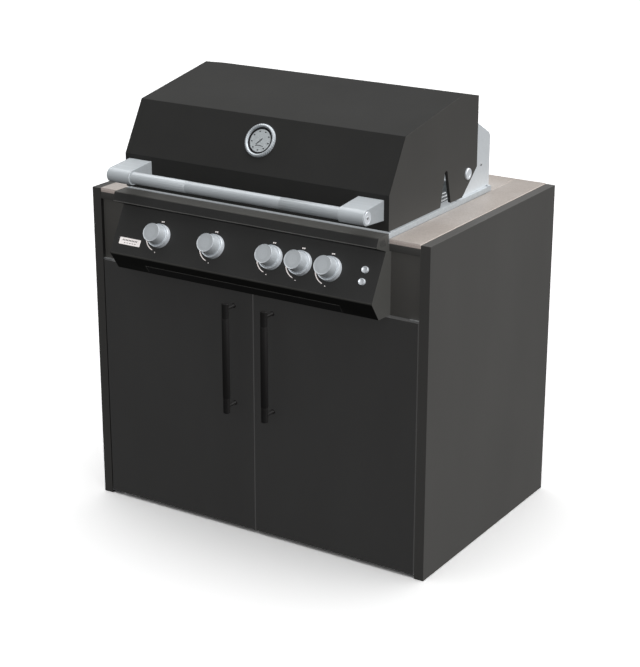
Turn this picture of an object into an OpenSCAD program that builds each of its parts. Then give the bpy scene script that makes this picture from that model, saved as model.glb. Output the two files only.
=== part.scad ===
// Built-in gas barbecue grill in a two-door cabinet.
// X is across the front, -Y faces the cook, Z is up, all sizes in mm.
// The origin is on the floor, in the middle of the overall footprint.

/* [Cabinet] */
// width over the two side panels
cab_w = 1056; // [1050:2:1120]
// depth of the cabinet from door face to back
cab_d = 700; // [700:5:760]
// thickness of a side panel
side_t = 28; // [24:1:32]
// height of a side panel
side_h = 908; // [900:1:910]
// thickness of a door
door_t = 20; // [18:1:21]
// gap between the doors and round their edges
door_gap = 3; // [2.8:0.1:4]
// height of the door bottom above the floor
door_z = 11; // [10.8:0.1:11.2]
// thickness of the worktop
top_t = 12; // [10:1:14]

/* [Door handles] */
// distance of a handle bar from the middle of the front
bar_x = 61.3; // [50:0.1:90]
// length of a handle bar
bar_len = 310; // [290:1:340]
// radius of a handle bar
bar_r = 9.6; // [8:0.1:10]
// distance between the two posts of a handle
post_pitch = 276; // [240:1:276]

/* [Lid] */
// width over the lid side plates
lid_w = 818; // [817:0.1:819]
// thickness of the lid skin
skin_t = 2; // [1.5:0.1:2.5]
// radius of the handle tube
tube_r = 16; // [14:0.1:16]
// length of the knurled grip
grip_len = 294; // [200:1:500]
// radius of the thermometer bezel
thermo_r = 47; // [44:0.1:50]

/* [Controls] */
// outer radius of a knob at its skirt
knob_r = 30.8; // [28:0.1:30.9]
// radius of the flat knob face
knob_face_r = 25.2; // [20:0.1:26]
// height of the knob face above the panel
knob_h = 44.5; // [40:0.1:50]
// radius of a push button
button_r = 8.8; // [8:0.1:11]

/* [Fire box] */
// radius of a burner tube
burner_r = 12.7; // [12:0.1:14]
// radius of a grate rod
rod_r = 4; // [3:0.1:4.5]
// number of rods in one grate
rod_n = 15; // [9:1:17]
// half width of the grease tray
tray_x = 304; // [280:1:304]

/* [Hidden] */

origin_y = 300;
$fn = 48;
in_w = cab_w - 2 * side_t;
in_x = in_w / 2;
cut_x = 410;
cut_y = 550;
top_z = 898;
door_top = 705;
door_w = in_x - door_gap - 1.5;
post_y = -40;
bar_z = 513;
hinge_in = 15;
hinge_y = 8;
knob_x = [-264.4, -89.5, 91.7, 180.7, 269.3];
knob_s = 64;
button_x = 368;
button_s = [78.6, 47.7];
burner_x = [-264.4, -89.5, 91.7, 269.3];
burner_z = 797;
panel_path = [[-4.5, 924], [-50, 924], [-60.6, 899.5], [-13.5, 881],
  [-80.3, 760.987], [-45, 710.4], [-3, 709.3]];
panel_a = atan2(881 - 764.4, -13.5 + 78.4);
lid_path = [[0, 928], [0, 1019], [77, 1153], [374, 1205], [460, 1187]];
lid_a = atan2(1153 - 1019, 77);
pivot_y = 407;
pivot_z = 987;
tube_y = -80;
tube_z = 980;
brk_in = 321;
brk_out = 395;
pipe_y = -20;
pipe_z = 778;
tray_z = 713.4;

function unit(v) = v / norm(v);
function side(a, b) = let(d = unit(b - a)) [-d[1], d[0]];
function mitre(p, i, t) =
  i == 0 ? p[0] + t * side(p[0], p[1])
  : i == len(p) - 1 ? p[i] + t * side(p[i - 1], p[i])
  : let(a = side(p[i - 1], p[i]), b = side(p[i], p[i + 1])) p[i] + t * (a + b) / (1 + a * b);
function sheet(p, t) = concat(p, [for (i = [len(p) - 1 : -1 : 0]) mitre(p, i, t)]);

// move from the front plane of the cabinet to the shared origin
module placed() {
  translate([0, -origin_y, 0]) children();
}

// box from one corner to the other
module box(a, b) {
  translate(a) cube(b - a);
}

// outline given as depth and height, run from x = a to x = b
module across(a, b, pts) {
  translate([a, 0, 0]) rotate([90, 0, 90]) linear_extrude(height = b - a) polygon(pts);
}

// place on the sloping face of the control panel
module on_panel(x, s) {
  translate([x, -78.4 + s * cos(panel_a), 764.4 + s * sin(panel_a)])
    rotate([panel_a, 0, 0]) children();
}

// place on the sloping front of the lid
module on_lid(s) {
  translate([0, s * cos(lid_a), 1019 + s * sin(lid_a)])
    rotate([lid_a, 0, 0]) children();
}

// round bar along X
module bar_along_x(x0, x1, y, z, r) {
  translate([x0, y, z]) rotate([0, 90, 0]) cylinder(h = x1 - x0, r = r);
}

// round bar along Y
module bar_along_y(x, y0, y1, z, r) {
  translate([x, y0, z]) rotate([-90, 0, 0]) cylinder(h = y1 - y0, r = r);
}

module side_panel() {
  box([in_x, 0, 0], [in_x + side_t, cab_d, side_h]);
}

module side_panel_left() {
  color([0.2, 0.2, 0.19]) placed() mirror([1, 0, 0]) side_panel();
}

module side_panel_right() {
  color([0.2, 0.2, 0.19]) placed() side_panel();
}

module back_panel() {
  color([0.2, 0.2, 0.19]) placed() difference() {
    box([-in_x, cab_d - 16, 10], [in_x, cab_d, top_z]);
    for (x = [-360 : 180 : 360]) for (z = [110, 800])
      box([x - 60, cab_d - 17, z], [x + 60, cab_d + 1, z + 9]);
    translate([-380, cab_d - 17, 300]) rotate([-90, 0, 0]) cylinder(h = 18, r = 20);
  }
}

module floor_panel() {
  color([0.24, 0.24, 0.23]) placed() difference() {
    box([-in_x, 30, 44], [in_x, cab_d - 16, 62]);
    for (x = [-240, 0, 240]) box([x - 50, 520, 43], [x + 50, 530, 63]);
  }
}

module cross_rails() {
  color([0.22, 0.22, 0.21]) placed() {
    box([-in_x, 60, 0], [in_x, 78, 44]);
    box([-in_x, 600, 0], [in_x, 618, 44]);
    box([-in_x, 30, 660], [in_x, 48, 704]);
  }
}

module front_trims() {
  color([0.2, 0.2, 0.19]) placed() for (m = [0, 1]) mirror([m, 0, 0])
    box([cut_x + 1, 0, 879], [in_x, 24, top_z]);
}

module filler_panels() {
  color([0.18, 0.18, 0.18]) placed() for (m = [0, 1]) mirror([m, 0, 0])
    box([cut_x + 1, 10, 709], [in_x, 26, 879]);
}

module worktop_sides() {
  color([0.7, 0.67, 0.64]) placed() for (m = [0, 1]) mirror([m, 0, 0])
    box([cut_x, 0, top_z], [in_x, cab_d, top_z + top_t]);
}

module worktop_rear() {
  color([0.7, 0.67, 0.64]) placed()
    box([-cut_x, cut_y, top_z], [cut_x, cab_d, top_z + top_t]);
}

// right-hand door with its two pivot bores and two screw holes
module door() {
  difference() {
    box([1.5, 0, door_z], [1.5 + door_w, door_t, door_top]);
    translate([in_x - door_gap - hinge_in, hinge_y, door_z - 1]) cylinder(h = 18, r = 4.1);
    translate([in_x - door_gap - hinge_in, hinge_y, door_top - 17]) cylinder(h = 18, r = 4.1);
    for (z = [bar_z - post_pitch / 2, bar_z + post_pitch / 2])
      bar_along_y(bar_x, -1, door_t + 1, z, 2.6);
  }
}

module door_left() {
  color([0.17, 0.17, 0.17]) placed() mirror([1, 0, 0]) door();
}

module door_right() {
  color([0.17, 0.17, 0.17]) placed() door();
}

// grip bar, two posts and the two screws that hold them through the door
module door_handle() {
  difference() {
    union() {
      translate([bar_x, post_y, bar_z - bar_len / 2]) cylinder(h = bar_len, r = bar_r);
      translate([bar_x, post_y, bar_z - 113]) cylinder(h = 226, r = bar_r + 0.5);
    }
    for (z = [bar_z - post_pitch / 2, bar_z + post_pitch / 2])
      bar_along_y(bar_x, post_y, 0, z, 4.55);
  }
  for (z = [bar_z - post_pitch / 2, bar_z + post_pitch / 2]) {
    difference() {
      bar_along_y(bar_x, post_y + 0.05, 0, z, 4.5);
      bar_along_y(bar_x, -26, 1, z, 2.55);
    }
    bar_along_y(bar_x, -25.9, door_t, z, 2.5);
    bar_along_y(bar_x, door_t, door_t + 2.5, z, 4.5);
  }
}

module door_handle_left() {
  color([0.1, 0.1, 0.1]) placed() mirror([1, 0, 0]) door_handle();
}

module door_handle_right() {
  color([0.1, 0.1, 0.1]) placed() door_handle();
}

// four pivot plates, each with its pin
module hinge_plates() {
  color([0.6, 0.6, 0.62]) placed() for (m = [0, 1]) mirror([m, 0, 0]) {
    difference() {
      box([in_x - 30, 2, door_top + 0.6], [in_x, 26, 708.8]);
      translate([in_x - 8, 18, 700]) cylinder(h = 20, r = 1.6, $fn = 24);
    }
    translate([in_x - door_gap - hinge_in, hinge_y, door_top - 14]) cylinder(h = 14.8, r = 4);
    box([in_x - 30, 2, 7.2], [in_x, 26, door_z - 0.6]);
    translate([in_x - door_gap - hinge_in, hinge_y, door_z - 0.7]) cylinder(h = 14, r = 4);
  }
}

module door_catches() {
  color([0.3, 0.3, 0.3]) placed() for (m = [0, 1]) mirror([m, 0, 0]) difference() {
    box([14, door_t + 0.6, 668], [58, 30, 696]);
    for (x = [20, 52]) bar_along_y(x, door_t, 31, 682, 1.8, $fn = 24);
  }
}

fire_out = [[396, 921], [396, 790], [285, 745], [285, 738]];

// pressed trough with two ledges for the grates and hanging tabs at the sides
module firebox() {
  color([0.62, 0.64, 0.66]) placed() difference() {
    union() {
      for (m = [0, 1]) mirror([m, 0, 0]) {
        translate([0, 536, 0]) rotate([90, 0, 0]) linear_extrude(height = 524)
          polygon(sheet(fire_out, -3));
        box([395, 40, 883], [412, 520, 886]);
      }
      for (y = [12, 533]) translate([0, y + 3, 0]) rotate([90, 0, 0])
        linear_extrude(height = 3) polygon([[-396, 921], [396, 921], [396, 790],
          [285, 745], [285, 738], [-285, 738], [-285, 745], [-396, 790]]);
      box([-394, 14, 885], [394, 38, 888]);
      box([-394, 478, 885], [394, 534, 888]);
      for (y = [14, 522]) box([-394, y, 826], [394, y + 12, 829]);
    }
    for (x = burner_x) bar_along_y(x, 10, 17, burner_z, burner_r);
    for (x = [-330 : 110 : 330]) bar_along_y(x, 530, 540, 850, 9);
  }
}

// flange round the opening with four rest pads for the lid
module rim_frame() {
  color([0.72, 0.74, 0.76]) placed() {
    difference() {
      box([-410, 0, 910], [410, 550, 924]);
      box([-407, 3, 909], [407, 547, 921]);
      box([-380, 24, 909], [380, 526, 925]);
      translate([350, 542, 909]) cylinder(h = 16, r = 4.4);
    }
    for (m = [0, 1]) mirror([m, 0, 0]) for (y = [8, 352])
      box([402, y, 924], [410, y + 14, 927.6]);
  }
}

module support_rails() {
  color([0.55, 0.55, 0.55]) placed() for (m = [0, 1]) mirror([m, 0, 0])
    translate([0, 530, 0]) rotate([90, 0, 0]) linear_extrude(height = 500)
      polygon([[399, 880], [430, 880], [430, top_z], [427, top_z], [427, 883], [399, 883]]);
}

house = [[380, 924], [380, 1020], [430, 1134], [481, 1106], [542, 1072], [550, 1062], [550, 924]];

// side cheeks, roof and back of the fixed hood behind the lid
module rear_housing() {
  color([0.65, 0.67, 0.69]) placed() difference() {
    union() {
      across(398, 400, house);
      across(-400, -398, house);
      across(-398.5, 398.5, sheet([[550, 924], [550, 1062], [542, 1072], [430, 1134]], 3));
    }
    for (x = [-340 : 85 : 340]) translate([x - 30, 545, 945]) cube([60, 8, 7]);
    for (s = [-1, 1]) bar_along_x(s * 399 - 3, s * 399 + 3, pivot_y, pivot_z, 6);
  }
}

// ceramic burner tile in its case
module rear_burner() {
  color([0.6, 0.55, 0.5]) placed() {
    difference() {
      box([-300, 505, 985], [300, 547, 1058]);
      box([-292, 500, 993], [292, 535, 1050]);
      bar_along_x(280, 310, 542, 1012, 3);
    }
    difference() {
      box([-292, 510, 993], [292, 520, 1050]);
      for (x = [-276 : 24 : 276]) box([x - 8, 508, 1019], [x + 8, 511.5, 1024]);
    }
  }
}

// gas line from the fourth valve to the rear burner
module feed_tube() {
  color([0.75, 0.5, 0.3]) placed() {
    translate([181, 5, 760]) cylinder(h = 41, r = 4, $fn = 32);
    translate([181, 5, 760]) sphere(r = 4, $fn = 32);
    bar_along_x(181, 403, 5, 760, 4, $fn = 32);
    translate([403, 5, 760]) sphere(r = 4, $fn = 32);
    bar_along_y(403, 5, 542, 760, 4, $fn = 32);
    translate([403, 542, 760]) sphere(r = 4, $fn = 32);
    bar_along_x(350, 403, 542, 760, 4, $fn = 32);
    translate([350, 542, 760]) sphere(r = 4, $fn = 32);
    translate([350, 542, 760]) cylinder(h = 252, r = 4, $fn = 32);
    translate([350, 542, 1012]) sphere(r = 4, $fn = 32);
    bar_along_x(300, 350, 542, 1012, 4, $fn = 32);
  }
}

module burner_tubes() {
  color([0.68, 0.7, 0.72]) placed() for (x = burner_x) difference() {
    bar_along_y(x, 11, 500, burner_z, burner_r);
    bar_along_y(x, 10, 497, burner_z, burner_r - 1.2);
    for (y = [60 : 42 : 480]) bar_along_x(x - 20, x + 20, y, burner_z + 4, 1.5, $fn = 16);
  }
}

module flame_tamers() {
  color([0.6, 0.62, 0.64]) placed() for (x = burner_x) translate([x, 533, 0])
    rotate([90, 0, 0]) linear_extrude(height = 518)
      polygon([[-58, 829], [-54, 829], [0, 858], [54, 829], [58, 829], [58, 832],
        [0, 862], [-58, 832]]);
}

// one grate, middle at x = c
module grate(c) {
  for (i = [0 : rod_n - 1])
    bar_along_y(c - 118 + i * 236 / (rod_n - 1), 30, 488, 900.6, rod_r, $fn = 24);
  for (y = [34, 259, 484])
    bar_along_x(c - 122, c + 122, y, 895, rod_r, $fn = 24);
  for (s = [-1, 1]) for (y = [34, 484])
    translate([c + s * 118, y, 888.4]) cylinder(h = 8, r = 3, $fn = 24);
}

module grate_left() {
  color([0.5, 0.5, 0.5]) placed() grate(-250);
}

module grate_middle() {
  color([0.5, 0.5, 0.5]) placed() grate(0);
}

module grate_right() {
  color([0.5, 0.5, 0.5]) placed() grate(250);
}

module warming_rack() {
  color([0.7, 0.7, 0.72]) placed() {
    for (y = [414, 446]) bar_along_x(-398, 398, y, 1072, 3, $fn = 24);
    bar_along_x(-380, 380, 303, 1072, 3, $fn = 24);
    for (x = [-378 : 36 : 378]) bar_along_y(x, 300, 449, 1076.5, 2.2, $fn = 16);
  }
}

module electrodes() {
  color([0.92, 0.9, 0.86]) placed() for (x = burner_x) {
    bar_along_y(x + 24, 15, 70, burner_z + 14, 3.5, $fn = 24);
    bar_along_y(x + 24, 70, 84, burner_z + 14, 1.2, $fn = 24);
  }
}

module manifold_pipe() {
  color([0.5, 0.5, 0.52]) placed() difference() {
    union() {
      bar_along_x(-310, 300, pipe_y, pipe_z, 9);
      for (x = knob_x) translate([x, pipe_y, pipe_z]) cylinder(h = 9, r = 6.5);
    }
    bar_along_x(-311, 295, pipe_y, pipe_z, 7);
    for (x = knob_x) translate([x, pipe_y, pipe_z]) cylinder(h = 13, r = 3);
  }
}

// tilted valve body with inlet foot and outlet nozzle
module valve(x, nozzle_end) {
  difference() {
    union() {
      on_panel(x, knob_s) translate([0, 0, -48]) cylinder(h = 35, r = 12);
      translate([x, pipe_y, pipe_z + 9.05]) cylinder(h = 18.95, r = 6.5);
      bar_along_y(x, -12, nozzle_end, burner_z, 5);
    }
    on_panel(x, knob_s) translate([0, 0, -36]) cylinder(h = 24, r = 4.1);
  }
}

module gas_valves() {
  color([0.78, 0.66, 0.38]) placed() {
    for (i = [0, 1, 2, 4]) valve(knob_x[i], 18);
    valve(knob_x[3], 1);
  }
}

// threaded inlet elbow where the supply hose is screwed on
module gas_inlet() {
  color([0.78, 0.66, 0.38]) placed() difference() {
    union() {
      bar_along_x(-334, -310, pipe_y, pipe_z, 8);
      translate([-334, pipe_y, pipe_z - 34]) cylinder(h = 34, r = 8);
      translate([-334, pipe_y, pipe_z]) sphere(r = 8);
      translate([-334, pipe_y, pipe_z - 24]) cylinder(h = 9, r = 12, $fn = 6);
    }
    bar_along_x(-334, -309, pipe_y, pipe_z, 5);
    translate([-334, pipe_y, pipe_z - 35]) cylinder(h = 35, r = 5);
  }
}

// shallow pull-out pan; its front closes the opening in the panel
module grease_tray() {
  color([0.35, 0.35, 0.36]) placed() {
    difference() {
      union() {
        box([-tray_x + 4, -44, tray_z], [tray_x - 4, 470, 731]);
        across(-tray_x, tray_x, [[-59.4, 733.6], [-46.8, 713.2], [-44.4, 713.2], [-44.4, 714.7],
          [-57.7, 734.6]]);
      }
      box([-tray_x + 6, -42.4, tray_z + 1.6], [tray_x - 6, 468.4, 732]);
    }
  }
}

module tray_rails() {
  color([0.5, 0.5, 0.52]) placed() for (m = [0, 1]) mirror([m, 0, 0])
    translate([0, 500, 0]) rotate([90, 0, 0]) linear_extrude(height = 484)
      polygon([[288, 710.8], [308, 710.8], [308, 752], [306, 752], [306, 712.8], [288, 712.8]]);
}

module control_panel() {
  color([0.15, 0.15, 0.15]) placed() difference() {
    across(-cut_x + 2.5, cut_x - 2.5, sheet(panel_path, 2));
    for (x = knob_x) on_panel(x, knob_s) translate([0, 0, -6]) cylinder(h = 12, r = 9);
    for (s = button_s) on_panel(button_x, s) translate([0, 0, -6])
      cylinder(h = 12, r = button_r + 0.4);
    box([-tray_x - 2, -70, 712.8], [tray_x + 2, -30, 735.6]);
  }
}

// end plates of the panel, each with a strip that reaches back to the filler
module panel_end_caps() {
  color([0.27, 0.27, 0.27]) placed() for (m = [0, 1]) mirror([m, 0, 0])
    across(cut_x - 2.5, cut_x, concat(panel_path,
      [[9.6, 709.3], [9.6, 896], [-0.4, 896], [-0.4, 924]]));
}

module badge() {
  color([0.85, 0.82, 0.8]) placed() on_panel(-354.9, 33.9)
    translate([-34.5, -9.5, 0.03]) cube([69, 19, 1.57]);
}

module knob_bezels() {
  color([0.75, 0.77, 0.79]) placed() for (x = knob_x) on_panel(x, knob_s)
    rotate_extrude() polygon([[31.3, 0], [33.4, 0], [33.4, 4], [32.5, 14], [31.3, 14]]);
}

// stem with its retaining collar
module valve_stem(i) {
  on_panel(knob_x[i], knob_s) {
    translate([0, 0, -26]) cylinder(h = 60, r = 4);
    translate([0, 0, -7]) cylinder(h = 3, r = 7.5);
  }
}

module valve_stem_1() {
  color([0.6, 0.6, 0.6]) placed() valve_stem(0);
}

module valve_stem_2() {
  color([0.6, 0.6, 0.6]) placed() valve_stem(1);
}

module valve_stem_3() {
  color([0.6, 0.6, 0.6]) placed() valve_stem(2);
}

module valve_stem_4() {
  color([0.6, 0.6, 0.6]) placed() valve_stem(3);
}

module valve_stem_5() {
  color([0.6, 0.6, 0.6]) placed() valve_stem(4);
}

// turned knob with a waisted side, stem bore and pointer notch
module knob(i) {
  on_panel(knob_x[i], knob_s) difference() {
    rotate_extrude() polygon([[4.08, 9], [knob_r, 9], [knob_r, 18], [knob_r - 2.2, 21],
      [knob_face_r + 1.4, 30], [knob_face_r, 40], [knob_face_r, knob_h - 0.8],
      [knob_face_r - 0.8, knob_h], [0, knob_h], [0, 34.4], [4.08, 34.4]]);
    translate([0, knob_r + 0.6, 15]) cylinder(h = 4, r = 2.4, $fn = 24);
  }
}

module knob_1() {
  color([0.75, 0.77, 0.79]) placed() knob(0);
}

module knob_2() {
  color([0.75, 0.77, 0.79]) placed() knob(1);
}

module knob_3() {
  color([0.75, 0.77, 0.79]) placed() knob(2);
}

module knob_4() {
  color([0.75, 0.77, 0.79]) placed() knob(3);
}

module knob_5() {
  color([0.75, 0.77, 0.79]) placed() knob(4);
}

// cap with a shallow dished face and a guide stem
module button(i) {
  on_panel(button_x, button_s[i]) difference() {
    union() {
      translate([0, 0, -4]) cylinder(h = 11, r = button_r);
      translate([0, 0, -18]) cylinder(h = 14, r = 4);
    }
    translate([0, 0, 46.4]) sphere(r = 40, $fn = 64);
  }
}

module button_1() {
  color([0.75, 0.77, 0.79]) placed() button(0);
}

module button_2() {
  color([0.75, 0.77, 0.79]) placed() button(1);
}

// switch block behind the panel with a bore for each button
module button_housing() {
  color([0.12, 0.12, 0.13]) placed() difference() {
    on_panel(button_x, 63.1) translate([-15, -31, -26]) cube([30, 62, 24]);
    for (s = button_s) on_panel(button_x, s) {
      translate([0, 0, -9]) cylinder(h = 9, r = button_r + 0.8);
      translate([0, 0, -24]) cylinder(h = 20, r = 4.1);
    }
  }
}

notch_pts = [[261, 920], [321, 920], [298, 1012], [283, 1012]];

// folded front and top skin of the lid
module lid_shell() {
  color([0.18, 0.18, 0.18]) placed() difference() {
    across(-lid_w / 2 + 3, lid_w / 2 - 3, sheet(lid_path, -skin_t));
    on_lid(88) translate([0, 0, -8]) cylinder(h = 16, r = 5);
    for (s = [-1, 1]) for (x = [337, 379]) bar_along_y(s * x, -3, 5, 980.5, 3.1);
  }
}

// side plates with the notch for a spit and a deep collar round it
module lid_sides() {
  color([0.3, 0.3, 0.3]) placed() for (m = [0, 1]) mirror([m, 0, 0]) difference() {
    union() {
      across(lid_w / 2 - 3, lid_w / 2, concat(lid_path, [[461, 996], [388, 933], [380, 928]]));
      across(lid_w / 2 - 8.4, lid_w / 2 - 3,
        [[253, 928], [329, 928], [306, 1018], [298, 1025], [283, 1025], [275, 1018]]);
    }
    across(lid_w / 2 - 13, lid_w / 2 + 1, notch_pts);
    bar_along_x(lid_w / 2 - 13, lid_w / 2 + 1, 290.5, 1012, 7.5);
    bar_along_x(lid_w / 2 - 4, lid_w / 2 + 1, pivot_y, pivot_z, 6.1);
  }
}

// pivot pins fixed to the hood, with a spacer inside and a cap outside
module lid_pivots() {
  color([0.75, 0.77, 0.79]) placed() for (m = [0, 1]) mirror([m, 0, 0]) {
    bar_along_x(396, 411, pivot_y, pivot_z, 6);
    difference() {
      bar_along_x(400, 405.5, pivot_y, pivot_z, 14);
      bar_along_x(399, 406, pivot_y, pivot_z, 6);
    }
    translate([409.5, pivot_y, pivot_z]) rotate([0, 90, 0]) difference() {
      rotate_extrude() polygon([[0, 0], [17, 0], [17, 3.6], [15.6, 5], [0, 5]]);
      translate([0, 0, -1]) cylinder(h = 2.5, r = 6);
    }
  }
}

// bracket outline, flat against the lid and round about the tube
module lid_brackets() {
  color([0.75, 0.77, 0.79]) placed() for (m = [0, 1]) mirror([m, 0, 0]) difference() {
    union() {
      across(brk_in, brk_out, [[0, 954], [0, 1007], [tube_y + 1.5, tube_z + 19.94],
        [tube_y + 1.5, tube_z - 19.94]]);
      bar_along_x(brk_in, brk_out, tube_y, tube_z, 20, $fn = 64);
    }
    bar_along_x(brk_in - 1, brk_out - 8, tube_y, tube_z, tube_r, $fn = 64);
    bar_along_x(brk_out - 9, brk_out + 1, tube_y, tube_z, 3, $fn = 24);
    for (x = [337, 379]) bar_along_y(x, -30, 1, 980.5, 3);
  }
}

module lid_handle_tube() {
  color([0.75, 0.77, 0.79]) placed() difference() {
    bar_along_x(-brk_out + 8, brk_out - 8, tube_y, tube_z, tube_r, $fn = 64);
    bar_along_x(-brk_out + 7, brk_out - 7, tube_y, tube_z, tube_r - 2.5, $fn = 64);
    for (s = [-1, 1]) translate([s * grip_len / 2 - 1, tube_y, tube_z]) rotate([0, 90, 0])
      rotate_extrude($fn = 64) polygon([[tube_r - 0.5, 0], [tube_r + 2, 0],
        [tube_r + 2, 2], [tube_r - 0.5, 2]]);
  }
}

// bracket bolts inside the lid and the two end screws
module lid_screws() {
  color([0.6, 0.62, 0.64]) placed() for (m = [0, 1]) mirror([m, 0, 0]) {
    for (x = [337, 379]) {
      bar_along_y(x, -30, 2, 980.5, 3);
      translate([x, 2, 980.5]) rotate([-90, 0, 0]) cylinder(h = 4, r = 5.8, $fn = 6);
    }
    bar_along_x(brk_out - 8, brk_out + 0.6, tube_y, tube_z, 3, $fn = 24);
  }
}

// round case with a rolled rim, boss and probe
module thermo_case() {
  color([0.75, 0.77, 0.79]) placed() on_lid(88) {
    rotate_extrude() polygon([[0, 0], [thermo_r - 1, 0], [thermo_r, 2], [thermo_r, 7],
      [thermo_r - 1.5, 9], [thermo_r - 4, 9], [thermo_r - 5, 8], [thermo_r - 5, 1.5], [0, 1.5]]);
    translate([0, 0, -58]) cylinder(h = 58, r = 3);
    translate([0, 0, -10]) cylinder(h = 8, r = 9, $fn = 6);
  }
}

module thermo_dial() {
  color([0.9, 0.9, 0.9]) placed() on_lid(88) {
    translate([0, 0, 1.5]) cylinder(h = 0.9, r = thermo_r - 5.2);
    translate([0, 0, 2.4]) cylinder(h = 2.6, r = 1);
  }
}

module thermo_needle() {
  color([0.1, 0.1, 0.1]) placed() on_lid(88) difference() {
    union() {
      translate([0, 0, 3.2]) cylinder(h = 1, r = 3);
      translate([0, 0, 3.2]) rotate([0, 0, 225]) linear_extrude(height = 0.8)
        polygon([[-8, -1.1], [0, -1.4], [31, -0.5], [31, 0.5], [0, 1.4], [-8, 1.1]]);
    }
    translate([0, 0, 2]) cylinder(h = 4, r = 1.06);
  }
}

module thermo_glass() {
  color([0.8, 0.9, 0.95, 0.4]) placed() on_lid(88)
    translate([0, 0, 5.6]) cylinder(h = 1.4, r = thermo_r - 5);
}

side_panel_left();
side_panel_right();
back_panel();
floor_panel();
cross_rails();
front_trims();
filler_panels();
worktop_sides();
worktop_rear();
door_left();
door_right();
door_handle_left();
door_handle_right();
hinge_plates();
door_catches();
firebox();
rim_frame();
support_rails();
rear_housing();
rear_burner();
feed_tube();
burner_tubes();
flame_tamers();
grate_left();
grate_middle();
grate_right();
warming_rack();
electrodes();
manifold_pipe();
gas_valves();
gas_inlet();
grease_tray();
tray_rails();
control_panel();
panel_end_caps();
badge();
knob_bezels();
valve_stem_1();
valve_stem_2();
valve_stem_3();
valve_stem_4();
valve_stem_5();
knob_1();
knob_2();
knob_3();
knob_4();
knob_5();
button_1();
button_2();
button_housing();
lid_shell();
lid_sides();
lid_pivots();
lid_brackets();
lid_handle_tube();
thermo_case();
thermo_dial();
thermo_needle();
thermo_glass();
lid_screws();
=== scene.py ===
import math

import bmesh
import bpy
import numpy as np
from mathutils import Matrix, Vector


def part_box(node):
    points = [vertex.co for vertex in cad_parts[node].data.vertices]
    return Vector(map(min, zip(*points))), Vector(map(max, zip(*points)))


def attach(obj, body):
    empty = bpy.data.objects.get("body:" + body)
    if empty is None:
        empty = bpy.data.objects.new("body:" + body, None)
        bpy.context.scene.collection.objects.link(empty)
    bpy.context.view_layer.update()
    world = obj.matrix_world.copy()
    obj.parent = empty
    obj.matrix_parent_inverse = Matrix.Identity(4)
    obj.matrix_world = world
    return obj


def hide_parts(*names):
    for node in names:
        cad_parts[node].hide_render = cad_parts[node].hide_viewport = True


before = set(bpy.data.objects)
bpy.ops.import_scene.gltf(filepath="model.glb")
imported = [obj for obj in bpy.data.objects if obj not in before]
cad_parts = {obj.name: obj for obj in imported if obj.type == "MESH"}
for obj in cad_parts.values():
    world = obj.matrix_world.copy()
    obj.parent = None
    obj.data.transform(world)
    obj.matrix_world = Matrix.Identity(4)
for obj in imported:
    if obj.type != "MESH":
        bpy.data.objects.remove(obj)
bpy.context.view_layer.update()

# All shapes below are in millimetres from the cabinet's front plane; X across, -Y to the cook, Z up.
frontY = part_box("side_panel_right")[0].y * 1000.0


# Every point moves by the front plane's Y and becomes metres.
def toMetres(points):
    return (np.asarray(points, float) + (0.0, frontY, 0.0)) / 1000.0


# A colour ramp from the low tone to the high one, with its two stops at the ends of the span.
def twoTone(tree, source, low, high, span=(0.0, 1.0)):
    ramp = tree.nodes.new("ShaderNodeValToRGB")
    for stop, position, color in zip(ramp.color_ramp.elements, span, (low, high)):
        stop.position = position
        stop.color = (*color, 1)
    tree.links.new(source, ramp.inputs["Fac"])
    return ramp.outputs["Color"]


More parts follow.
